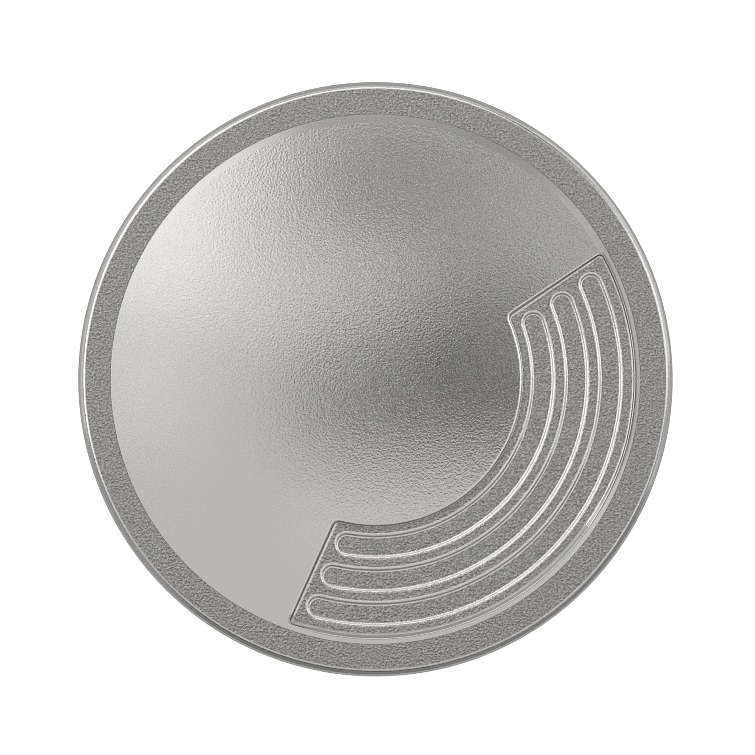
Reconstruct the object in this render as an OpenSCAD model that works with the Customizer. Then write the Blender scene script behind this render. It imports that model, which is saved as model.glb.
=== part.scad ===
// Golf ball marker: a cast metal disc with a low dome on its face, a sunken panel of
// round-ended grooves let into the dome, and a disc magnet glued into its back.
// The back lies on z = 0, the dome faces +Z, and +Y is the top of the face.

/* [Disc] */
// Outside diameter of the disc
disc_d = 25; // [22:0.5:32]
// Thickness of the disc at the flat ring
rim_t = 1.6; // [1.5:0.05:2.5]
// Rounding of the front edge
front_round = 0.3; // [0.1:0.05:0.5]
// Rounding of the back edge
back_round = 0.2; // [0.1:0.05:0.5]
// Width of the ring round the dome, front rounding included
ring_w = 1.38; // [0.8:0.02:2]

/* [Dome] */
// Rise of the dome above the ring
dome_rise = 0.45; // [0.2:0.05:0.8]

/* [Panel] */
// Direction of the middle of the panel, in degrees from +X
panel_angle = -40; // [-180:1:180]
// Band of dome left between the panel and the ring
panel_gap = 0.32; // [0.2:0.02:0.6]
// Width of the panel floor across the grooves
panel_w = 4.7; // [3.8:0.1:5.5]
// Depth of the panel floor below the ring
panel_sink = 0.05; // [0.02:0.01:0.15]
// Lean of the panel walls from upright, in degrees
panel_draft = 18; // [8:1:30]
// Angle from the middle of the panel to each end wall, in degrees
panel_end_angle = 72.8; // [50:0.2:80]
// Distance from the centre of the disc to where the end walls would meet
panel_end_offset = 0.85; // [0.4:0.05:1.4]
// Plan rounding where the end walls meet the inner wall
panel_corner_r = 0.2; // [0.1:0.02:0.35]

/* [Grooves] */
// Number of grooves in the panel
groove_count = 3; // [2:1:3]
// Width of a groove halfway down its walls
groove_w = 0.85; // [0.6:0.05:0.95]
// Depth of a groove below the panel floor
groove_depth = 0.15; // [0.12:0.01:0.2]
// Lean of the groove walls from upright, in degrees
groove_draft = 25; // [15:1:35]
// Floor left between the side walls of the panel and the outermost grooves
groove_margin = 0.49; // [0.4:0.01:0.6]
// Floor left between the end walls and the round ends of the grooves
groove_end_gap = 0.27; // [0.2:0.01:0.6]
// Rounding of the groove lips
groove_lip_r = 0.08; // [0.04:0.01:0.1]
// Rounding along the foot of the groove walls
groove_foot_r = 0.06; // [0.03:0.01:0.08]

/* [Magnet] */
// Diameter of the magnet
magnet_d = 10; // [6:0.5:10.5]
// Thickness of the magnet
magnet_t = 1; // [0.6:0.1:1.1]
// Chamfer on the magnet's edges
magnet_chamfer = 0.1; // [0.05:0.05:0.2]
// Depth of the magnet's face below the back of the disc
magnet_setback = 0.05; // [0.02:0.01:0.1]

/* [Adhesive] */
// Film of adhesive between the magnet and the bottom of its pocket
glue_t = 0.1; // [0.05:0.01:0.15]
// Ring of adhesive between the magnet and the wall of its pocket
glue_gap = 0.1; // [0.05:0.01:0.2]
// Depth of the adhesive's edge below the face of the magnet
glue_drop = 0.15; // [0.1:0.05:0.4]

/* [Hidden] */
$fn = 240;

// Length by which a cutter runs past the face that it opens
overcut = 0.2;
// Steps along each rounding in the groove profile
round_steps = 4;
// Slope at which a groove lip leaves the panel floor, in degrees
lip_start = 12;
// Height by which the groove profile carries that slope above the panel floor
lip_rise = 0.01;

disc_r = disc_d / 2;
dome_r = disc_r - ring_w;
dome_sphere_r = (pow(dome_r, 2) + pow(dome_rise, 2)) / (2 * dome_rise);
dome_top = rim_t + dome_rise;

panel_z = rim_t - panel_sink;
panel_outer_r = dome_r - panel_gap;
panel_inner_r = panel_outer_r - panel_w;
panel_cut_h = dome_top - panel_z + overcut;
panel_lean = panel_cut_h * tan(panel_draft);

groove_pitch = (panel_w - groove_w - 2 * groove_margin) / (groove_count - 1);
groove_slope = 90 - groove_draft;
lip_drop = groove_lip_r * (cos(lip_start) - cos(groove_slope));
foot_drop = groove_foot_r * (1 - cos(groove_slope));
foot_run = groove_foot_r * sin(groove_slope);
wall_drop = groove_depth - lip_drop - foot_drop;
wall_run = wall_drop * tan(groove_draft);

magnet_r = magnet_d / 2;
magnet_top = magnet_setback + magnet_t;
pocket_r = magnet_r + glue_gap;
pocket_depth = magnet_top + glue_t;
glue_z = magnet_setback + glue_drop;

// Angle from the middle of the panel to a point at radius r that lies d inside an end wall
function end_angle(r, d) =
    let (
        start = panel_end_offset + d / sin(panel_end_angle),
        along = sqrt(pow(r, 2) - pow(start * sin(panel_end_angle), 2))
            - start * cos(panel_end_angle)
    )
    atan2(along * sin(panel_end_angle), start + along * cos(panel_end_angle));

// Radius and angle of the centre of the corner rounding
corner_r = panel_inner_r + panel_corner_r;
corner_angle = end_angle(corner_r, panel_corner_r);

function groove_r(i) = panel_inner_r + groove_margin + groove_w / 2 + i * groove_pitch;

// One side of a groove, from the middle of its floor up over the lip
function groove_side() =
    let (
        foot_x = groove_w / 2 - wall_run / 2 - foot_run,
        lip_x = groove_w / 2 + wall_run / 2 + groove_lip_r * sin(groove_slope),
        lip_z = -groove_lip_r * cos(lip_start)
    )
    concat(
        [[0, -groove_depth]],
        [for (i = [0 : round_steps])
            let (a = groove_slope * i / round_steps)
            [foot_x + groove_foot_r * sin(a), -groove_depth + groove_foot_r * (1 - cos(a))]],
        [for (i = [0 : round_steps])
            let (a = groove_slope + (lip_start - groove_slope) * i / round_steps)
            [lip_x - groove_lip_r * sin(a), lip_z + groove_lip_r * cos(a)]],
        [[lip_x - groove_lip_r * sin(lip_start) + lip_rise / tan(lip_start), lip_rise]],
        [[0, lip_rise]]
    );

// The disc with its rounded edges, without the dome
module rim_disc() {
    rotate_extrude()
        union() {
            square([disc_r - front_round, rim_t]);
            translate([0, back_round])
                square([disc_r, rim_t - front_round - back_round]);
            translate([disc_r - front_round, rim_t - front_round])
                circle(front_round);
            translate([disc_r - back_round, back_round])
                circle(back_round);
        }
}

module dome() {
    intersection() {
        translate([0, 0, dome_top - dome_sphere_r])
            sphere(dome_sphere_r);
        translate([0, 0, rim_t - overcut])
            cylinder(r = disc_r - front_round, h = dome_rise + 2 * overcut);
    }
}

// Everything on the panel's side of one leaning end wall
module end_side() {
    translate([panel_end_offset, 0, panel_z])
        rotate([0, 0, panel_end_angle])
            rotate([-panel_draft, 0, 0])
                translate([-disc_d, -disc_d, -disc_d])
                    cube([2 * disc_d, disc_d, 2 * disc_d]);
}

// The space of the panel with square corners, its middle along +X
module square_panel_space() {
    intersection() {
        rotate_extrude()
            polygon([
                [panel_inner_r, panel_z],
                [panel_outer_r, panel_z],
                [panel_outer_r + panel_lean, panel_z + panel_cut_h],
                [panel_inner_r - panel_lean, panel_z + panel_cut_h]
            ]);
        end_side();
        mirror([0, 1, 0])
            end_side();
    }
}

// What a rounded corner leaves standing, from the centre of the rounding to past both walls
module corner_square() {
    turn = 90 + panel_end_angle - corner_angle;
    reach = panel_corner_r + panel_lean + overcut;
    middle = (180 + turn) / 2;
    far = reach / cos((180 - turn) / 2);
    translate([0, 0, -overcut])
        linear_extrude(panel_cut_h + 2 * overcut)
            polygon([
                [0, 0],
                [reach * cos(turn), reach * sin(turn)],
                [far * cos(middle), far * sin(middle)],
                [-reach, 0]
            ]);
}

// Places its children at the centre of the corner rounding at each end of the panel
module at_corners() {
    for (side = [0, 1])
        mirror([0, side, 0])
            rotate([0, 0, corner_angle])
                translate([corner_r, 0, panel_z])
                    children();
}

// The space of the panel, its middle along +X
module panel_space() {
    difference() {
        square_panel_space();
        at_corners()
            corner_square();
    }
    at_corners()
        cylinder(r1 = panel_corner_r, r2 = panel_corner_r + panel_lean, h = panel_cut_h);
}

// The space of one groove, with its middle along +X
module groove_space(r) {
    tip = end_angle(r, groove_w / 2 + groove_end_gap);
    rotate([0, 0, -tip])
        rotate_extrude(angle = 2 * tip)
            translate([r, panel_z])
                union() {
                    polygon(groove_side());
                    mirror([1, 0])
                        polygon(groove_side());
                }
    for (side = [0, 1])
        mirror([0, side, 0])
            rotate([0, 0, tip])
                translate([r, 0, panel_z])
                    rotate_extrude(angle = 180)
                        polygon(groove_side());
}

module magnet_pocket() {
    translate([0, 0, -overcut])
        cylinder(r = pocket_r, h = pocket_depth + overcut);
}

module marker_body() {
    color([0.66, 0.66, 0.65])
        difference() {
            union() {
                rim_disc();
                dome();
            }
            rotate([0, 0, panel_angle]) {
                panel_space();
                for (i = [0 : groove_count - 1])
                    groove_space(groove_r(i));
            }
            magnet_pocket();
        }
}

module magnet() {
    color([0.75, 0.74, 0.72])
        translate([0, 0, magnet_setback])
            rotate_extrude()
                polygon([
                    [0, 0],
                    [magnet_r - magnet_chamfer, 0],
                    [magnet_r, magnet_chamfer],
                    [magnet_r, magnet_t - magnet_chamfer],
                    [magnet_r - magnet_chamfer, magnet_t],
                    [0, magnet_t]
                ]);
}

module magnet_adhesive() {
    color([0.82, 0.76, 0.58])
        difference() {
            translate([0, 0, glue_z])
                cylinder(r = pocket_r, h = pocket_depth - glue_z);
            magnet();
        }
}

marker_body();
magnet();
magnet_adhesive();
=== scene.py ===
"""Golf ball marker: a satin domed disc with a blasted ring, a sunken panel of round-ended grooves
and a plated magnet glued into its back. The disc is drawn in millimetres and brought to metres last."""

import math

import bpy
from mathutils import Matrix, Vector


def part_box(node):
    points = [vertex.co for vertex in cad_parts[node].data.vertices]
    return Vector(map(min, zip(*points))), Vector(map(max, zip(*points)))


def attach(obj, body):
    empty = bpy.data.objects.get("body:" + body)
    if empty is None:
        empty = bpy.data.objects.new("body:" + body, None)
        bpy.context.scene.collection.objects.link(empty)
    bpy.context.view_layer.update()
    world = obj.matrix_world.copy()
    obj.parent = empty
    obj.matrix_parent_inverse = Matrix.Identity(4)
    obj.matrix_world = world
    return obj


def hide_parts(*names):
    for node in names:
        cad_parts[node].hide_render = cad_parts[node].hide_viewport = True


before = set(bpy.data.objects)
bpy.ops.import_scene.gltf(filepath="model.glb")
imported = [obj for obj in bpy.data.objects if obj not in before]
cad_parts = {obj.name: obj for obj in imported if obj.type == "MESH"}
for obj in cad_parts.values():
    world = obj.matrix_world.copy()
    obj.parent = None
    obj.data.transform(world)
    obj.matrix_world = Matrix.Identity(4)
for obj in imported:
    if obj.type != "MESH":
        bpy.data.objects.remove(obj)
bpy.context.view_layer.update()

MM = 0.001
BODY_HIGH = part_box("marker_body")[1] / MM
GLUE_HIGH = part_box("magnet_adhesive")[1] / MM

# Disc, in millimetres
DISC_R = BODY_HIGH.x
DOME_TOP = BODY_HIGH.z
DOME_RISE = 0.45
RIM_T = DOME_TOP - DOME_RISE
RING_W = 1.38
FRONT_ROUND = 0.32
BACK_ROUND = 0.2
DOME_R = DISC_R - RING_W
DOME_SPHERE_R = (DOME_R**2 + DOME_RISE**2) / (2 * DOME_RISE)
POCKET_R = GLUE_HIGH.x
POCKET_DEPTH = GLUE_HIGH.z

# Sunken panel, with its middle along +X until the disc is turned
PANEL_ANGLE = -40.2
PANEL_GAP = 0.29
PANEL_W = 4.66
PANEL_SINK = 0.12
PANEL_DRAFT = 8
PANEL_END_ANGLE = 74
PANEL_END_OFFSET = 0.95
PANEL_CORNER_R = 0.26
PANEL_TIP_R = 0.185
PANEL_POINT_R = 0.145
PANEL_FOOT_R = 0.55
PANEL_LIP_R = 0.4
PANEL_CRISP_R = 0.04
INNER_CORE_SHARE = 0.35
INNER_FOOT_SHARE = 0.2
LOW_FOOT_SHARE = 0.6
PANEL_Z = RIM_T - PANEL_SINK
PANEL_OUTER_R = DOME_R - PANEL_GAP
PANEL_INNER_R = PANEL_OUTER_R - PANEL_W

# Stretch of the panel's outer wall that is blunt, by angles from the middle of the panel
OUTER_LEAN = 0.07
OUTER_LIP_LOSS = 0.4
OUTER_CRISP_ANGLE = 25
OUTER_BLUNT_ANGLE = 5
OUTER_BLUNT_FADE = 5
OUTER_BAND = 0.3

# Grooves in the panel
GROOVE_COUNT = 3
GROOVE_W = 0.87
GROOVE_DEPTH = 0.053
GROOVE_DRAFT = 60
GROOVE_INNER_MARGIN = 0.43
GROOVE_OUTER_MARGIN = 0.52
GROOVE_END_GAP = 0.39
GROOVE_LIP_R = 0.5
GROOVE_FOOT_R = 0.28
GROOVE_CRISP_R = 0.03
GROOVE_PITCH = (PANEL_W - GROOVE_W - GROOVE_INNER_MARGIN - GROOVE_OUTER_MARGIN) / (GROOVE_COUNT - 1)

# Steps along the sweeps, and the angles of the dome's edge that face the parts of the panel's wall
INNER_STEPS = 120
CORNER_STEPS = 10
END_STEPS = 32
OUTER_STEPS = 150
CAP_STEPS = 24
ROUND_STEPS = 4
EDGE_ROUND_STEPS = 12
DOME_CUTS = 44
OUTER_SPAN = 73
END_SPAN = 56

# Slope, in degrees, at which a gentle rounding along a wall turns crisp
SHOULDER = 12

# Flat strip kept beside each rounding, so that flat floors stay flat in the shading
FLAT_STRIP = 0.02

# Distances within which points count as one, as level or as on the dome's edge
MERGE_GAP = 0.0005
LEVEL_GAP = 0.0005
EDGE_BAND = 0.01

# Fold, in degrees, that is shaded as a sharp edge, and the rise of a normal on flat and on steep faces
SHARP_ANGLE = 35
FLAT_UP = 0.9999
STEEP_UP = 0.64

# Finishes of the metal; the blasted and blunt tones carry painted shade and the wall tone a painted highlight.
# The dome's grain is weaker towards one side, at an angle from +X
SATIN, BLASTED, WALL, STEEP, BLUNT, RIM = range(6)
GRAIN_DETAIL = 2
GRAIN_ROUGHNESS = 0.55
GRAIN_SPREAD = 0.22
SMOOTH_SIDE_ANGLE = 205
SMOOTH_SIDE_FAR = 0.5
SMOOTH_SIDE_NEAR = 8.5
DOME_TONE = (0.66, 0.65, 0.632)
# The blasted tone is darker than the plating: partly the dull blasted finish, partly painted shade of light
# trapped in its pits
BLASTED_FINISH_AND_SHADE_TONE = (0.325, 0.32, 0.31)
# The wall tone is lighter than the plating: a painted highlight on the lips and gentle walls
WALL_HIGHLIGHT_TONE = (0.74, 0.728, 0.705)
STEEP_TONE = (0.64, 0.63, 0.61)
# The blunt tone is darker than the plating: painted shade along the blunt stretch of the outer wall
BLUNT_SHADE_TONE = (0.5, 0.492, 0.476)
RIM_TONE = (0.64, 0.632, 0.615)
MAGNET_TONE = (0.76, 0.74, 0.70)
GLUE_TONE = (0.50, 0.36, 0.14)


def dome_z(r):
    """Height of the domed face at a distance from the middle of the disc."""
    return DOME_TOP - DOME_SPHERE_R + math.sqrt(DOME_SPHERE_R**2 - r**2)


# Height from the panel floor to the dome along the inner wall, and how far that wall leans out
WALL_RISE = dome_z(PANEL_INNER_R) - PANEL_Z
WALL_LEAN = WALL_RISE * math.tan(math.radians(PANEL_DRAFT))


def polar(r, degrees, z=0.0):
    """A point at a radius and an angle from the middle of the panel."""
    a = math.radians(degrees)
    return Vector((r * math.cos(a), r * math.sin(a), z))


def end_angle(r, inside):
    """Angle of the point at radius r that lies a given distance inside an end wall of the panel."""
    a = math.radians(PANEL_END_ANGLE)
    start = PANEL_END_OFFSET + inside / math.sin(a)
    along = math.sqrt(r**2 - (start * math.sin(a)) ** 2) - start * math.cos(a)
    return math.degrees(math.atan2(along * math.sin(a), start + along * math.cos(a)))


def arc(cx, cz, r, first, last, steps):
    """Points (x, z) on a circle, with angles in degrees from straight up, turning towards +x."""
    turn = (last - first) / steps
    angles = [math.radians(first + turn * i) for i in range(steps + 1)]
    return [(cx + r * math.sin(a), cz + r * math.cos(a)) for a in angles]


def bend(gentle_r, crisp_r, slope):
    """Points (out, up) of a rounding that starts level, gentle as far as the shoulder and crisp from there."""
    gentle = arc(0, gentle_r, gentle_r, 180, 180 - SHOULDER, ROUND_STEPS)
    turn = math.radians(SHOULDER)
    centre_x = (gentle_r - crisp_r) * math.sin(turn)
    centre_z = gentle_r + (crisp_r - gentle_r) * math.cos(turn)
    return gentle + arc(centre_x, centre_z, crisp_r, 180 - SHOULDER, 180 - slope, ROUND_STEPS)[1:]


def wall_profile(rise, draft, foot_r, lip_r, crisp_r):
    """Points (out, up) over a leaning wall that starts at out = 0 on a floor at up = 0."""
    lean = math.tan(math.radians(draft))
    foot = bend(foot_r, crisp_r, 90 - draft)
    lip = bend(lip_r, crisp_r, 90 - draft)
    foot_reach = foot[-1][0] - foot[-1][1] * lean
    lip_reach = lip[-1][0] - lip[-1][1] * lean
    profile = [(out - foot_reach, up) for out, up in foot]
    profile += [(rise * lean + lip_reach - out, rise - up) for out, up in reversed(lip)]
    return [(profile[0][0] - FLAT_STRIP, 0.0), *profile, (profile[-1][0] + FLAT_STRIP, rise)]


def link(tree, start, end):
    """Joins an output socket to an input socket."""
    tree.links.new(start, end)


def make_grain_group():
    """Fine grain and slow mottling of a cast metal surface, shared by its finishes. The grain dies away
    in the smooth band of the dome between the panel and the ring, and can be weaker on one side of the disc."""
    group = bpy.data.node_groups.new("cast_grain", "ShaderNodeTree")
    for name in ("Grain Size", "Mottle Size", "Fade Width", "Smooth Side"):
        group.interface.new_socket(name, in_out="INPUT", socket_type="NodeSocketFloat")
    for name in ("Grain", "Mottle"):
        group.interface.new_socket(name, in_out="OUTPUT", socket_type="NodeSocketFloat")
    nodes = group.nodes
    inlet = nodes.new("NodeGroupInput")
    outlet = nodes.new("NodeGroupOutput")
    place = nodes.new("ShaderNodeTexCoord")
    noises = {}
    for name in ("Grain", "Mottle"):
        scale = nodes.new("ShaderNodeMath")
        scale.operation = "DIVIDE"
        scale.inputs[0].default_value = 1
        noise = nodes.new("ShaderNodeTexNoise")
        noise.inputs["Detail"].default_value = GRAIN_DETAIL
        noise.inputs["Roughness"].default_value = GRAIN_ROUGHNESS
        link(group, inlet.outputs[f"{name} Size"], scale.inputs[1])
        link(group, place.outputs["Object"], noise.inputs["Vector"])
        link(group, scale.outputs[0], noise.inputs["Scale"])
        noises[name] = noise
    flat = nodes.new("ShaderNodeVectorMath")
    flat.operation = "MULTIPLY"
    flat.inputs[1].default_value = (1, 1, 0)
    radius = nodes.new("ShaderNodeVectorMath")
    radius.operation = "LENGTH"
    offset = nodes.new("ShaderNodeMath")
    offset.operation = "SUBTRACT"
    offset.inputs[1].default_value = (DOME_R - PANEL_GAP / 2) * MM
    distance = nodes.new("ShaderNodeMath")
    distance.operation = "ABSOLUTE"
    reach = nodes.new("ShaderNodeMath")
    reach.operation = "ADD"
    reach.inputs[1].default_value = PANEL_GAP / 2 * MM
    fade = nodes.new("ShaderNodeMapRange")
    fade.interpolation_type = "SMOOTHSTEP"
    fade.inputs["From Min"].default_value = PANEL_GAP / 2 * MM
    side = nodes.new("ShaderNodeVectorMath")
    side.operation = "DOT_PRODUCT"
    side.inputs[1].default_value = polar(1, SMOOTH_SIDE_ANGLE)
    drift = nodes.new("ShaderNodeMapRange")
    drift.interpolation_type = "SMOOTHSTEP"
    drift.inputs["From Min"].default_value = SMOOTH_SIDE_FAR * MM
    drift.inputs["From Max"].default_value = SMOOTH_SIDE_NEAR * MM
    drift.inputs["To Min"].default_value = 1
    both = nodes.new("ShaderNodeMath")
    both.operation = "MULTIPLY"
    level = nodes.new("ShaderNodeMix")
    level.inputs["A"].default_value = 0.5
    link(group, place.outputs["Object"], flat.inputs[0])
    link(group, flat.outputs[0], radius.inputs[0])
    link(group, radius.outputs["Value"], offset.inputs[0])
    link(group, offset.outputs[0], distance.inputs[0])
    link(group, inlet.outputs["Fade Width"], reach.inputs[0])
    link(group, distance.outputs[0], fade.inputs["Value"])
    link(group, reach.outputs[0], fade.inputs["From Max"])
    link(group, place.outputs["Object"], side.inputs[0])
    link(group, side.outputs["Value"], drift.inputs["Value"])
    link(group, inlet.outputs["Smooth Side"], drift.inputs["To Max"])
    link(group, fade.outputs["Result"], both.inputs[0])
    link(group, drift.outputs["Result"], both.inputs[1])
    link(group, both.outputs[0], level.inputs["Factor"])
    link(group, noises["Grain"].outputs["Fac"], level.inputs["B"])
    link(group, level.outputs["Result"], outlet.inputs["Grain"])
    link(group, noises["Mottle"].outputs["Fac"], outlet.inputs["Mottle"])
    return group


def make_metal(
    name,
    tone,
    roughness,
    grain_size,
    grain_height,
    pit_shade_share,
    mottle_size=1.0,
    mottle_share=0.12,
    fade=0.05,
    smooth=1,
):
    """A plated finish: its grain stands up in bump, its colour carries painted shade in the pits and painted
    light on the crests, and its roughness drifts slowly.
    Sizes are in millimetres."""
    material = bpy.data.materials.new(name)
    material.use_nodes = True
    tree = material.node_tree
    shader = tree.nodes["Principled BSDF"]
    shader.inputs["Metallic"].default_value = 1
    grain = tree.nodes.new("ShaderNodeGroup")
    grain.node_tree = GRAIN
    grain.inputs["Grain Size"].default_value = grain_size * MM
    grain.inputs["Mottle Size"].default_value = mottle_size * MM
    grain.inputs["Fade Width"].default_value = fade * MM
    grain.inputs["Smooth Side"].default_value = smooth
    bump = tree.nodes.new("ShaderNodeBump")
    bump.inputs["Strength"].default_value = 1
    bump.inputs["Distance"].default_value = grain_height * MM
    link(tree, grain.outputs["Grain"], bump.inputs["Height"])
    link(tree, bump.outputs["Normal"], shader.inputs["Normal"])
    rough = tree.nodes.new("ShaderNodeMapRange")
    rough.inputs["To Min"].default_value = roughness * (1 - mottle_share)
    rough.inputs["To Max"].default_value = roughness * (1 + mottle_share)
    link(tree, grain.outputs["Mottle"], rough.inputs["Value"])
    link(tree, rough.outputs["Result"], shader.inputs["Roughness"])
    # The colour ramp paints shade into the pits of the grain and light onto its crests
    colour = tree.nodes.new("ShaderNodeValToRGB")
    pit, crest = colour.color_ramp.elements
    pit.position = 0.5 - GRAIN_SPREAD
    pit.color = (*[c * (1 - pit_shade_share) for c in tone], 1)
    crest.position = 0.5 + GRAIN_SPREAD
    crest.color = (*[c * (1 + pit_shade_share) for c in tone], 1)
    link(tree, grain.outputs["Grain"], colour.inputs["Fac"])
    link(tree, colour.outputs["Color"], shader.inputs["Base Color"])
    return material


def make_glue():
    """Cured adhesive: a glossy amber film with slow ripples, its colour darkened in their dips with painted shade
    and lightened on their crests.
    """
    material = make_metal(
        "cured_adhesive",
        GLUE_TONE,
        roughness=0.25,
        grain_size=0.5,
        grain_height=0.01,
        pit_shade_share=0.2,
        mottle_size=1.5,
        mottle_share=0.3,
    )
    shader = material.node_tree.nodes["Principled BSDF"]
    shader.inputs["Metallic"].default_value = 0
    shader.inputs["IOR"].default_value = 1.52
    return material


def begin_piece(name):
    """A new mesh in edit mode that is one point at the origin, ready to be drawn out."""
    bpy.ops.object.select_all(action="DESELECT")
    bpy.ops.mesh.primitive_plane_add(size=1)
    piece = bpy.context.object
    piece.name = name
    bpy.ops.object.mode_set(mode="EDIT")
    bpy.ops.mesh.select_mode(type="VERT")
    bpy.ops.mesh.select_all(action="SELECT")
    bpy.ops.mesh.merge(type="CENTER")
    return piece


def draw_profile(points):
    """Draws the selected point out along a line of points, and selects the whole line."""
    bpy.ops.transform.translate(value=points[0])
    for here, there in zip(points, points[1:]):
        bpy.ops.mesh.extrude_region_move(TRANSFORM_OT_translate={"value": there - here})
    bpy.ops.mesh.select_all(action="SELECT")


def sweep_turn(centre, degrees, steps):
    """Sweeps the selected line anticlockwise about an upright axis."""
    angle = -math.radians(degrees)
    bpy.ops.mesh.spin(steps=steps, angle=angle, center=centre, axis=(0, 0, 1), use_auto_merge=False)


def sweep_run(way, steps):
    """Sweeps the selected line along a straight way."""
    for _ in range(steps):
        bpy.ops.mesh.extrude_region_move(TRANSFORM_OT_translate={"value": way / steps})


def end_piece():
    """Closes the seams of the swept mesh and leaves edit mode."""
    bpy.ops.mesh.select_all(action="SELECT")
    bpy.ops.mesh.remove_doubles(threshold=MERGE_GAP)
    bpy.ops.object.mode_set(mode="OBJECT")


def make_panel_wall():
    """The wall round the sunken panel, drawn as if the dome were level."""
    profile = wall_profile(WALL_RISE, PANEL_DRAFT, PANEL_FOOT_R, PANEL_LIP_R, PANEL_CRISP_R)
    inner_r = PANEL_INNER_R + PANEL_CORNER_R
    outer_r = PANEL_OUTER_R - PANEL_TIP_R
    inner_a = end_angle(inner_r, PANEL_CORNER_R)
    outer_a = end_angle(outer_r, PANEL_TIP_R)
    inner_turn = 90 + inner_a - PANEL_END_ANGLE
    outer_turn = 90 + PANEL_END_ANGLE - outer_a
    end_out = polar(1, PANEL_END_ANGLE + 90)
    end_start = polar(inner_r, inner_a) + end_out * PANEL_CORNER_R
    end_way = polar(outer_r, outer_a) + end_out * PANEL_TIP_R - end_start
    mirrored_way = Vector((-end_way.x, end_way.y, 0))
    piece = begin_piece("panel_wall")
    draw_profile([polar(PANEL_INNER_R - out, -inner_a, up) for out, up in profile])
    sweep_turn((0, 0, 0), 2 * inner_a, INNER_STEPS)
    sweep_turn(polar(inner_r, inner_a), -inner_turn, CORNER_STEPS)
    sweep_run(end_way, END_STEPS)
    sweep_turn(polar(outer_r, outer_a), -outer_turn, CORNER_STEPS)
    sweep_turn((0, 0, 0), -2 * outer_a, OUTER_STEPS)
    sweep_turn(polar(outer_r, -outer_a), -outer_turn, CORNER_STEPS)
    sweep_run(mirrored_way, END_STEPS)
    sweep_turn(polar(inner_r, -inner_a), -inner_turn, CORNER_STEPS)
    end_piece()
    narrow_panel_wall(piece)
    return piece


def low_reach(out, height):
    """How far out a point of the wall lies. The foot is narrower where the wall is lower than its full height."""
    if out > 0:
        return out
    return out * (LOW_FOOT_SHARE + (1 - LOW_FOOT_SHARE) * height)


def inner_reach(out):
    """How far out a point of the wall lies along the inner arc, where the wall stands steeper."""
    if out < 0:
        return out * INNER_FOOT_SHARE
    return out - min(out, WALL_LEAN) * (1 - INNER_CORE_SHARE)


def smooth_step(low, high, value):
    """Goes smoothly from 0 at low to 1 at high."""
    share = min(max((value - low) / (high - low), 0), 1)
    return share * share * (3 - 2 * share)


def outer_lean(out, angle, tip_angle):
    """How much further in a point of the outer wall lies where the wall is blunt, past its crisp stretch."""
    blunt = smooth_step(OUTER_CRISP_ANGLE, OUTER_BLUNT_ANGLE, angle)
    blunt *= smooth_step(-tip_angle, OUTER_BLUNT_FADE - tip_angle, angle)
    if out > WALL_LEAN:
        return (out - WALL_LEAN) * OUTER_LIP_LOSS * blunt
    return OUTER_LEAN * blunt * (1 - max(out, 0) / WALL_LEAN)


def narrow_panel_wall(piece):
    """Fits the wall to its place: steeper along the inner arc, narrower at the foot where the dome is low,
    and blunt along part of the outer arc. The tips of the panel are drawn out to a tighter rounding."""
    inner_r = PANEL_INNER_R + PANEL_CORNER_R
    outer_r = PANEL_OUTER_R - PANEL_TIP_R
    point_r = PANEL_OUTER_R - PANEL_POINT_R
    corner = polar(inner_r, end_angle(inner_r, PANEL_CORNER_R)).xy
    tip_angle = end_angle(outer_r, PANEL_TIP_R)
    tip = polar(outer_r, tip_angle).xy
    point = polar(point_r, end_angle(point_r, PANEL_POINT_R)).xy
    end_way = polar(1, PANEL_END_ANGLE).xy
    end_out = polar(1, PANEL_END_ANGLE + 90).xy
    high = dome_z(inner_r) - PANEL_Z
    for vertex in piece.data.vertices:
        at = Vector((vertex.co.x, abs(vertex.co.y)))
        height = (dome_z(at.length) - PANEL_Z) / high
        from_corner = at - corner
        from_tip = at - tip
        if at.angle_signed(tip) < -LEVEL_GAP and at.length > outer_r:
            out = at.length - PANEL_OUTER_R
            lean = outer_lean(out, math.degrees(math.atan2(vertex.co.y, vertex.co.x)), tip_angle)
            new = at.normalized() * (PANEL_OUTER_R + low_reach(out, height) - lean)
        elif from_tip.dot(end_way) > -LEVEL_GAP:
            out = from_tip.length - PANEL_TIP_R
            new = point + from_tip.normalized() * (PANEL_POINT_R + low_reach(out, height))
        elif from_corner.dot(end_way) > 0:
            out = from_corner.dot(end_out) - PANEL_CORNER_R
            new = at + end_out * (low_reach(out, height) - out)
        elif at.angle_signed(corner) > 0:
            turned = min(from_corner.angle(end_out) / corner.angle(-end_out), 1)
            out = from_corner.length - PANEL_CORNER_R
            new = at - from_corner.normalized() * (out - inner_reach(out)) * turned
        else:
            new = at.normalized() * (PANEL_INNER_R - inner_reach(PANEL_INNER_R - at.length))
        vertex.co.xy = (new.x, new.y * math.copysign(1, vertex.co.y))


def sweep_round():
    """Sweeps the selected line all round the disc, in step with the parts of the panel's wall."""
    end_steps = END_STEPS + 2 * CORNER_STEPS
    sweep_turn((0, 0, 0), 2 * OUTER_SPAN, OUTER_STEPS)
    sweep_turn((0, 0, 0), END_SPAN, end_steps)
    sweep_turn((0, 0, 0), 360 - 2 * OUTER_SPAN - 2 * END_SPAN, INNER_STEPS)
    sweep_turn((0, 0, 0), END_SPAN, end_steps)


def make_dome_edge():
    """The circle where the dome meets the ring, drawn at the level of the dome before it is lifted."""
    piece = begin_piece("dome_edge")
    draw_profile([polar(DOME_R, -OUTER_SPAN, WALL_RISE)])
    sweep_round()
    end_piece()
    return piece


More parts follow.
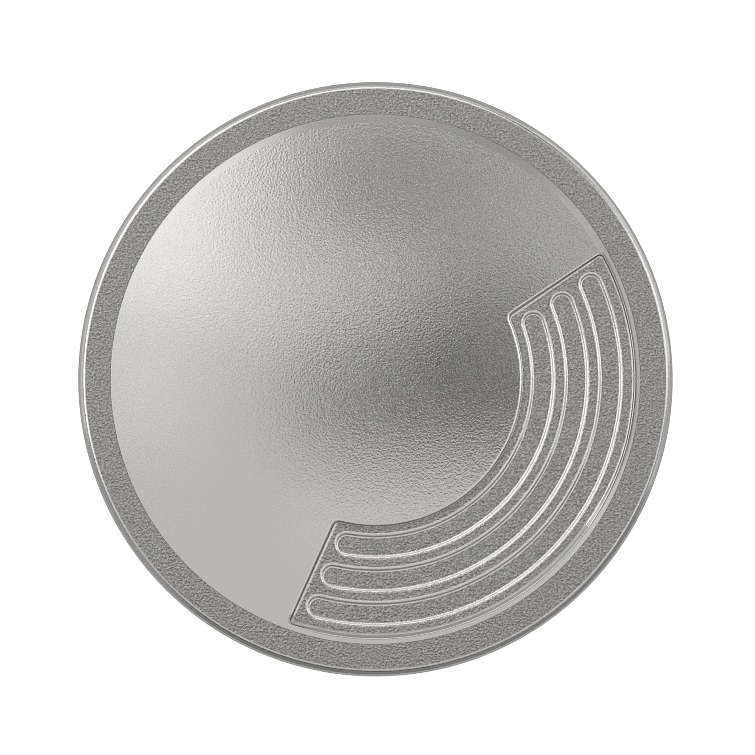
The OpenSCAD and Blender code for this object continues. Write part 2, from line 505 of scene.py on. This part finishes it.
def make_groove(index):
    """One round-ended groove: its walls, lips and the rounding along its foot."""
    r = PANEL_INNER_R + GROOVE_INNER_MARGIN + GROOVE_W / 2 + index * GROOVE_PITCH
    tip = end_angle(r, GROOVE_W / 2 + GROOVE_END_GAP)
    lean = GROOVE_DEPTH * math.tan(math.radians(GROOVE_DRAFT))
    foot = GROOVE_W / 2 - lean / 2
    profile = wall_profile(GROOVE_DEPTH, GROOVE_DRAFT, GROOVE_FOOT_R, GROOVE_LIP_R, GROOVE_CRISP_R)
    piece = begin_piece(f"groove_{index + 1}")
    draw_profile([polar(r + foot + out, -tip, up - GROOVE_DEPTH) for out, up in profile])
    for side in (1, -1):
        sweep_turn((0, 0, 0), side * 2 * tip, INNER_STEPS)
        sweep_turn(polar(r, side * tip), 180, CAP_STEPS)
    end_piece()
    return piece


def make_rim():
    """The ring, the rounded edge, the back and the pocket of the magnet, up to the dome's edge."""
    shoulder = DISC_R - FRONT_ROUND
    heel = DISC_R - BACK_ROUND
    profile = [(DOME_R, RIM_T), (shoulder - FLAT_STRIP, RIM_T)]
    profile += arc(shoulder, RIM_T - FRONT_ROUND, FRONT_ROUND, 0, 90, EDGE_ROUND_STEPS)
    profile += [(DISC_R, RIM_T - FRONT_ROUND - FLAT_STRIP), (DISC_R, BACK_ROUND + FLAT_STRIP)]
    profile += arc(heel, BACK_ROUND, BACK_ROUND, 90, 180, EDGE_ROUND_STEPS)
    profile += [(heel - FLAT_STRIP, 0), (POCKET_R, 0), (POCKET_R, POCKET_DEPTH), (0, POCKET_DEPTH)]
    piece = begin_piece("rim")
    draw_profile([polar(r, -OUTER_SPAN, z) for r, z in profile])
    sweep_round()
    end_piece()
    return piece


def join_pieces(name, pieces):
    """Joins pieces into the first of them."""
    bpy.ops.object.select_all(action="DESELECT")
    for piece in pieces:
        piece.select_set(True)
    bpy.context.view_layer.objects.active = pieces[0]
    bpy.ops.object.join()
    pieces[0].name = name
    return pieces[0]


def open_edges(piece, level):
    """The edges at a height that have a face on one side only, or none, as pairs of vertices."""
    mesh = piece.data
    uses = {}
    for face in mesh.polygons:
        for key in face.edge_keys:
            uses[key] = uses.get(key, 0) + 1
    at_level = [abs(vertex.co.z - level) < LEVEL_GAP for vertex in mesh.vertices]
    return [
        edge.key for edge in mesh.edges if uses.get(edge.key, 0) < 2 and all(at_level[i] for i in edge.vertices)
    ]


def select_edges(piece, keys):
    """Goes into edit mode with only the given edges selected."""
    chosen = set(keys)
    bpy.ops.object.mode_set(mode="EDIT")
    bpy.ops.mesh.select_mode(type="EDGE")
    bpy.ops.mesh.select_all(action="DESELECT")
    bpy.ops.object.mode_set(mode="OBJECT")
    for edge in piece.data.edges:
        edge.select = edge.key in chosen
    bpy.ops.object.mode_set(mode="EDIT")


def fill_level(piece, level):
    """Fills the flat space between the open edges at a height."""
    select_edges(piece, open_edges(piece, level))
    bpy.ops.mesh.fill(use_beauty=True)
    bpy.ops.object.mode_set(mode="OBJECT")


def dome_sector(middle):
    """Which part of the dome an edge of its border belongs to: the outer arc, an end or the inner arc."""
    r = middle.xy.length
    angle = math.degrees(math.atan2(middle.y, middle.x))
    side = math.copysign(1, angle)
    if r > DOME_R - EDGE_BAND:
        if abs(angle) < OUTER_SPAN:
            return "outer"
        return "inner" if abs(angle) > OUTER_SPAN + END_SPAN else ("end", side)
    point_r = PANEL_OUTER_R - PANEL_POINT_R
    if abs(angle) < end_angle(point_r, PANEL_POINT_R) and r > PANEL_OUTER_R:
        return "outer"
    corner = PANEL_INNER_R + PANEL_CORNER_R
    if abs(angle) < end_angle(corner, PANEL_CORNER_R) and r < PANEL_INNER_R:
        return "inner"
    return ("end", side)


def stretch_dome(piece):
    """Draws the level dome between the top of the panel's wall and the dome's edge, part by part."""
    sectors = {}
    for key in open_edges(piece, WALL_RISE):
        start, end = (piece.data.vertices[i].co for i in key)
        sectors.setdefault(dome_sector((start + end) / 2), []).append(key)
    for keys in sectors.values():
        select_edges(piece, keys)
        bpy.ops.mesh.bridge_edge_loops(number_cuts=DOME_CUTS, interpolation="LINEAR", smoothness=0)
        bpy.ops.object.mode_set(mode="OBJECT")


def lift_face(piece):
    """Lifts the level face onto the dome, and the panel with its walls and grooves to its own height."""
    for vertex in piece.data.vertices:
        level = vertex.co.z
        if level > 0:
            level *= (dome_z(vertex.co.xy.length) - PANEL_Z) / WALL_RISE
        vertex.co.z = PANEL_Z + level


def face_finish(face):
    """Which finish a face of the disc has, by its place and slope. By slope and place the walls also take painted
    light: gentle ones the lighter tone of painted highlight, the blunt stretch the darker tone of painted shade.
    """
    r = face.center.xy.length
    z = face.center.z
    if r > DISC_R - FRONT_ROUND:
        return RIM
    if z < RIM_T - FRONT_ROUND or (r < DOME_R and abs(z - dome_z(r)) < LEVEL_GAP):
        return SATIN
    angle = math.degrees(math.atan2(face.center.y, face.center.x))
    blunt = r > PANEL_OUTER_R - OUTER_BAND and -OUTER_SPAN < angle < OUTER_BLUNT_ANGLE
    if face.normal.z > FLAT_UP:
        return BLASTED
    if blunt:
        return BLUNT if r < PANEL_OUTER_R + WALL_LEAN else WALL
    return WALL if face.normal.z > STEEP_UP else STEEP


def finish_faces(piece):
    """Gives each face its finish, smooth shading, and crisp edges where the surface really breaks."""
    piece.data.materials.clear()
    for finish in (SATIN, BLASTED, WALL, STEEP, BLUNT, RIM):
        piece.data.materials.append(FINISHES[finish])
    for face in piece.data.polygons:
        face.material_index = face_finish(face)
        face.use_smooth = True
    bpy.ops.object.mode_set(mode="EDIT")
    bpy.ops.mesh.select_mode(type="EDGE")
    bpy.ops.mesh.select_all(action="DESELECT")
    bpy.ops.mesh.edges_select_sharp(sharpness=math.radians(SHARP_ANGLE))
    bpy.ops.object.mode_set(mode="OBJECT")
    for edge in piece.data.edges:
        ends = [piece.data.vertices[i].co for i in edge.vertices]
        if all(abs(end.xy.length - DOME_R) < LEVEL_GAP and end.z > RIM_T - LEVEL_GAP for end in ends):
            edge.select = True
    bpy.ops.object.mode_set(mode="EDIT")
    bpy.ops.mesh.mark_sharp()
    bpy.ops.mesh.select_mode(type="VERT")
    bpy.ops.mesh.select_all(action="SELECT")
    bpy.ops.object.mode_set(mode="OBJECT")


def make_disc():
    """The whole disc in one closed skin."""
    grooves = [make_groove(i) for i in range(GROOVE_COUNT)]
    face = join_pieces("face", [make_panel_wall(), make_dome_edge(), *grooves])
    stretch_dome(face)
    fill_level(face, 0)
    fill_level(face, -GROOVE_DEPTH)
    lift_face(face)
    disc = join_pieces("marker_disc", [face, make_rim()])
    bpy.ops.object.mode_set(mode="EDIT")
    bpy.ops.mesh.select_mode(type="VERT")
    bpy.ops.mesh.select_all(action="SELECT")
    bpy.ops.mesh.remove_doubles(threshold=MERGE_GAP)
    bpy.ops.mesh.normals_make_consistent(inside=False)
    bpy.ops.object.mode_set(mode="OBJECT")
    finish_faces(disc)
    bpy.ops.object.mode_set(mode="EDIT")
    bpy.ops.transform.rotate(value=-math.radians(PANEL_ANGLE), orient_axis="Z", center_override=(0, 0, 0))
    bpy.ops.transform.resize(value=(MM, MM, MM), center_override=(0, 0, 0))
    bpy.ops.object.mode_set(mode="OBJECT")
    return disc


GRAIN = make_grain_group()
FINISHES = {
    SATIN: make_metal(
        "satin_dome",
        DOME_TONE,
        roughness=0.14,
        grain_size=0.095,
        grain_height=0.0047,
        pit_shade_share=0.015,
        mottle_size=2.5,
        smooth=0.3,
    ),
    BLASTED: make_metal(
        "blasted_floor_and_pit_shade",
        BLASTED_FINISH_AND_SHADE_TONE,
        roughness=0.16,
        grain_size=0.1,
        grain_height=0.044,
        pit_shade_share=0.3,
        mottle_size=1.5,
        fade=0.06,
    ),
    WALL: make_metal(
        "wall_painted_highlight", WALL_HIGHLIGHT_TONE, roughness=0.14, grain_size=0.12, grain_height=0.006, pit_shade_share=0.06
    ),
    STEEP: make_metal(
        "steep_wall", STEEP_TONE, roughness=0.2, grain_size=0.12, grain_height=0.006, pit_shade_share=0.06
    ),
    BLUNT: make_metal(
        "blunt_wall_painted_shade", BLUNT_SHADE_TONE, roughness=0.35, grain_size=0.12, grain_height=0.006, pit_shade_share=0.06
    ),
    RIM: make_metal(
        "bright_rim", RIM_TONE, roughness=0.18, grain_size=0.15, grain_height=0.004, pit_shade_share=0.03
    ),
}
disc = make_disc()
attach(disc, "root")
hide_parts("marker_body")

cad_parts["magnet"].material_slots[0].material = make_metal(
    "magnet_plate",
    MAGNET_TONE,
    roughness=0.22,
    grain_size=0.2,
    grain_height=0.002,
    pit_shade_share=0.05,
    mottle_size=1.2,
    mottle_share=0.2,
)
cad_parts["magnet_adhesive"].material_slots[0].material = make_glue()

# Level light cards above the disc: left, right, front and back edge in degrees from straight up, and brightness
CARD_HEIGHT = 0.4
OVERHEAD_CARDS = {
    "key_near": (-14, -6.5, 3.3, 14, 1.26),
    "key_edge": (-6.5, -4.4, 8, 14, 0.95),
    "key_left": (-36, -15.5, -8, 14, 1.8),
    "key_back": (-36, -5, 15, 34, 1.7),
    "back_key": (-5, 14, 18, 36, 1.5),
    "left_fill": (-9, -3.5, -3, 3, 0.68),
    "left_edge_fill": (-14, -9, -3, 3, 0.88),
    "front_left_fill": (-14, -3, -26, -3, 0.68),
    "far_left_fill": (-32, -14, -26, -8, 0.5),
    "front_fill": (-3, 11.8, -7.5, -4.2, 0.95),
    "front_band_fill": (-3, 11.8, -16, -7.5, 0.68),
    "front_low_fill": (-3, 30, -32, -16, 0.6),
    "front_right_fill": (11.8, 32, -16, -3.5, 0.85),
    "middle_fill": (-6, 2.5, 3, 6.2, 1.2),
    "back_fill": (-4.4, 4, 6.2, 12.5, 0.2),
    "right_fill": (2.5, 8.5, 2, 6.5, 0.2),
    "right_edge_fill": (8.5, 10.6, 0, 6.5, 0.35),
    "right_band_fill": (10.6, 15, 0, 6.5, 0.75),
    "right_low_fill": (11.8, 15, -3.5, 0, 0.75),
    "right_dark_fill": (2.5, 11.8, -4.2, 0, 0.035),
    "back_right_fill": (3.5, 11, 6.5, 9, 0.9),
    "back_far_fill": (-1, 14, 12.5, 18, 0.6),
    "back_edge_fill": (-4.4, -1, 12.5, 15, 0.6),
    "corner_back_fill": (5.5, 8.6, 10.8, 12.5, 0.5),
    "corner_fill": (8.6, 11.5, 9, 12, 0.5),
    "corner_right_fill": (11, 14, 6.5, 9, 0.5),
    "right_key": (17.5, 42, -3.5, 22, 1.35),
    "centre_fill": (-3.5, 2.5, -4.2, 3, 0.09),
}

# Upright cards round the disc: direction in degrees, width, lower and upper edge in metres, and brightness
SIDE_CARD_DISTANCE = 0.6
SIDE_CARDS = {
    "right_low_wall": (-8, 0.3, 0.02, 0.75, 0.5),
    "right_wall": (30, 0.6, 0.02, 0.75, 0.8),
    "back_wall": (90, 0.84, 0.33, 0.75, 0.75),
    "back_low_wall": (90, 0.84, 0.02, 0.33, 0.45),
    "left_wall": (157, 0.78, 0.02, 0.75, 0.68),
    "front_left_wall": (208, 0.45, 0.03, 0.75, 0.38),
    "front_wall": (258, 0.7, 0.03, 0.75, 0.22),
    "front_right_wall": (316, 0.66, 0.03, 0.75, 0.24),
}


def add_card(name, width, height, radiance):
    """A light card of a given brightness, which the camera doesn't see."""
    light = bpy.data.lights.new(name, "AREA")
    light.shape = "RECTANGLE"
    light.size = width
    light.size_y = height
    light.energy = radiance * math.pi * width * height
    card = bpy.data.objects.new(name, light)
    card.visible_camera = False
    bpy.context.scene.collection.objects.link(card)
    return card


for name, (*edges, radiance) in OVERHEAD_CARDS.items():
    left, right, low, high = (CARD_HEIGHT * math.tan(math.radians(edge)) for edge in edges)
    card = add_card(name, right - left, high - low, radiance)
    card.location = ((left + right) / 2, (low + high) / 2, CARD_HEIGHT)

for name, (azimuth, width, low, high, radiance) in SIDE_CARDS.items():
    card = add_card(name, width, high - low, radiance)
    card.location = polar(SIDE_CARD_DISTANCE, azimuth, (low + high) / 2)
    card.rotation_euler = (math.radians(90), 0, math.radians(azimuth + 90))

# A faint even light from all sides
STUDIO_GLOW = 0.05
world = bpy.data.worlds.new("studio")
world.use_nodes = True
world.node_tree.nodes["Background"].inputs["Color"].default_value = (1, 1, 1, 1)
world.node_tree.nodes["Background"].inputs["Strength"].default_value = STUDIO_GLOW
bpy.context.scene.world = world

# White paper a hair below the back, clear from below. It looks brighter than the light that it throws on the disc
FLOOR_GAP = 0.02
FLOOR_W = 3
PAPER_GLOW = 0.12
PAPER_GLOW_SEEN = 0.8
bpy.ops.object.select_all(action="DESELECT")
bpy.ops.mesh.primitive_plane_add(size=FLOOR_W, location=(0, 0, -FLOOR_GAP * MM))
floor = bpy.context.object
floor.name = "floor"
paper = bpy.data.materials.new("white_paper")
paper.use_nodes = True
paper_shader = paper.node_tree.nodes["Principled BSDF"]
paper_shader.inputs["Base Color"].default_value = (0.6, 0.6, 0.6, 1)
paper_shader.inputs["Roughness"].default_value = 0.9
paper_shader.inputs["Emission Color"].default_value = (1, 1, 1, 1)
seen = paper.node_tree.nodes.new("ShaderNodeLightPath")
glow = paper.node_tree.nodes.new("ShaderNodeMapRange")
glow.inputs["To Min"].default_value = PAPER_GLOW
glow.inputs["To Max"].default_value = PAPER_GLOW_SEEN
link(paper.node_tree, seen.outputs["Is Camera Ray"], glow.inputs["Value"])
link(paper.node_tree, glow.outputs["Result"], paper_shader.inputs["Emission Strength"])
facing = paper.node_tree.nodes.new("ShaderNodeNewGeometry")
upper = paper.node_tree.nodes.new("ShaderNodeMapRange")
upper.inputs["To Min"].default_value = 1
upper.inputs["To Max"].default_value = 0
link(paper.node_tree, facing.outputs["Backfacing"], upper.inputs["Value"])
link(paper.node_tree, upper.outputs["Result"], paper_shader.inputs["Alpha"])
floor.data.materials.append(paper)

# Camera straight above the disc, with a long lens; the picture is 755 pixels wide
PICTURE_W = 755
PHOTO_DISC_R = 297.3
PHOTO_CENTRE = (375.45, 379.2)
CAMERA_Z = 0.3
PIXEL = DISC_R * MM / PHOTO_DISC_R
camera_data = bpy.data.cameras.new("photo_camera")
camera_data.lens = camera_data.sensor_width * (CAMERA_Z - (RIM_T - FRONT_ROUND) * MM) / (PIXEL * PICTURE_W)
camera_data.clip_start = 0.01
camera_data.clip_end = 10
camera = bpy.data.objects.new("photo_camera", camera_data)
camera.location = (
    (PICTURE_W / 2 - PHOTO_CENTRE[0]) * PIXEL,
    (PHOTO_CENTRE[1] - PICTURE_W / 2) * PIXEL,
    CAMERA_Z,
)
scene = bpy.context.scene
scene.collection.objects.link(camera)
scene.camera = camera
scene.view_settings.view_transform = "Standard"
scene.cycles.denoising_prefilter = "NONE"
scene.cycles.filter_width = 1.1

# The photograph is crisp, so the picture gets the light sharpening that a camera gives
SHARPENING = 0.035
scene.use_nodes = True
develop = scene.node_tree
sharpen = develop.nodes.new("CompositorNodeFilter")
sharpen.filter_type = "SHARPEN"
sharpen.inputs["Fac"].default_value = SHARPENING
link(develop, develop.nodes["Render Layers"].outputs["Image"], sharpen.inputs["Image"])
link(develop, sharpen.outputs["Image"], develop.nodes["Composite"].inputs["Image"])
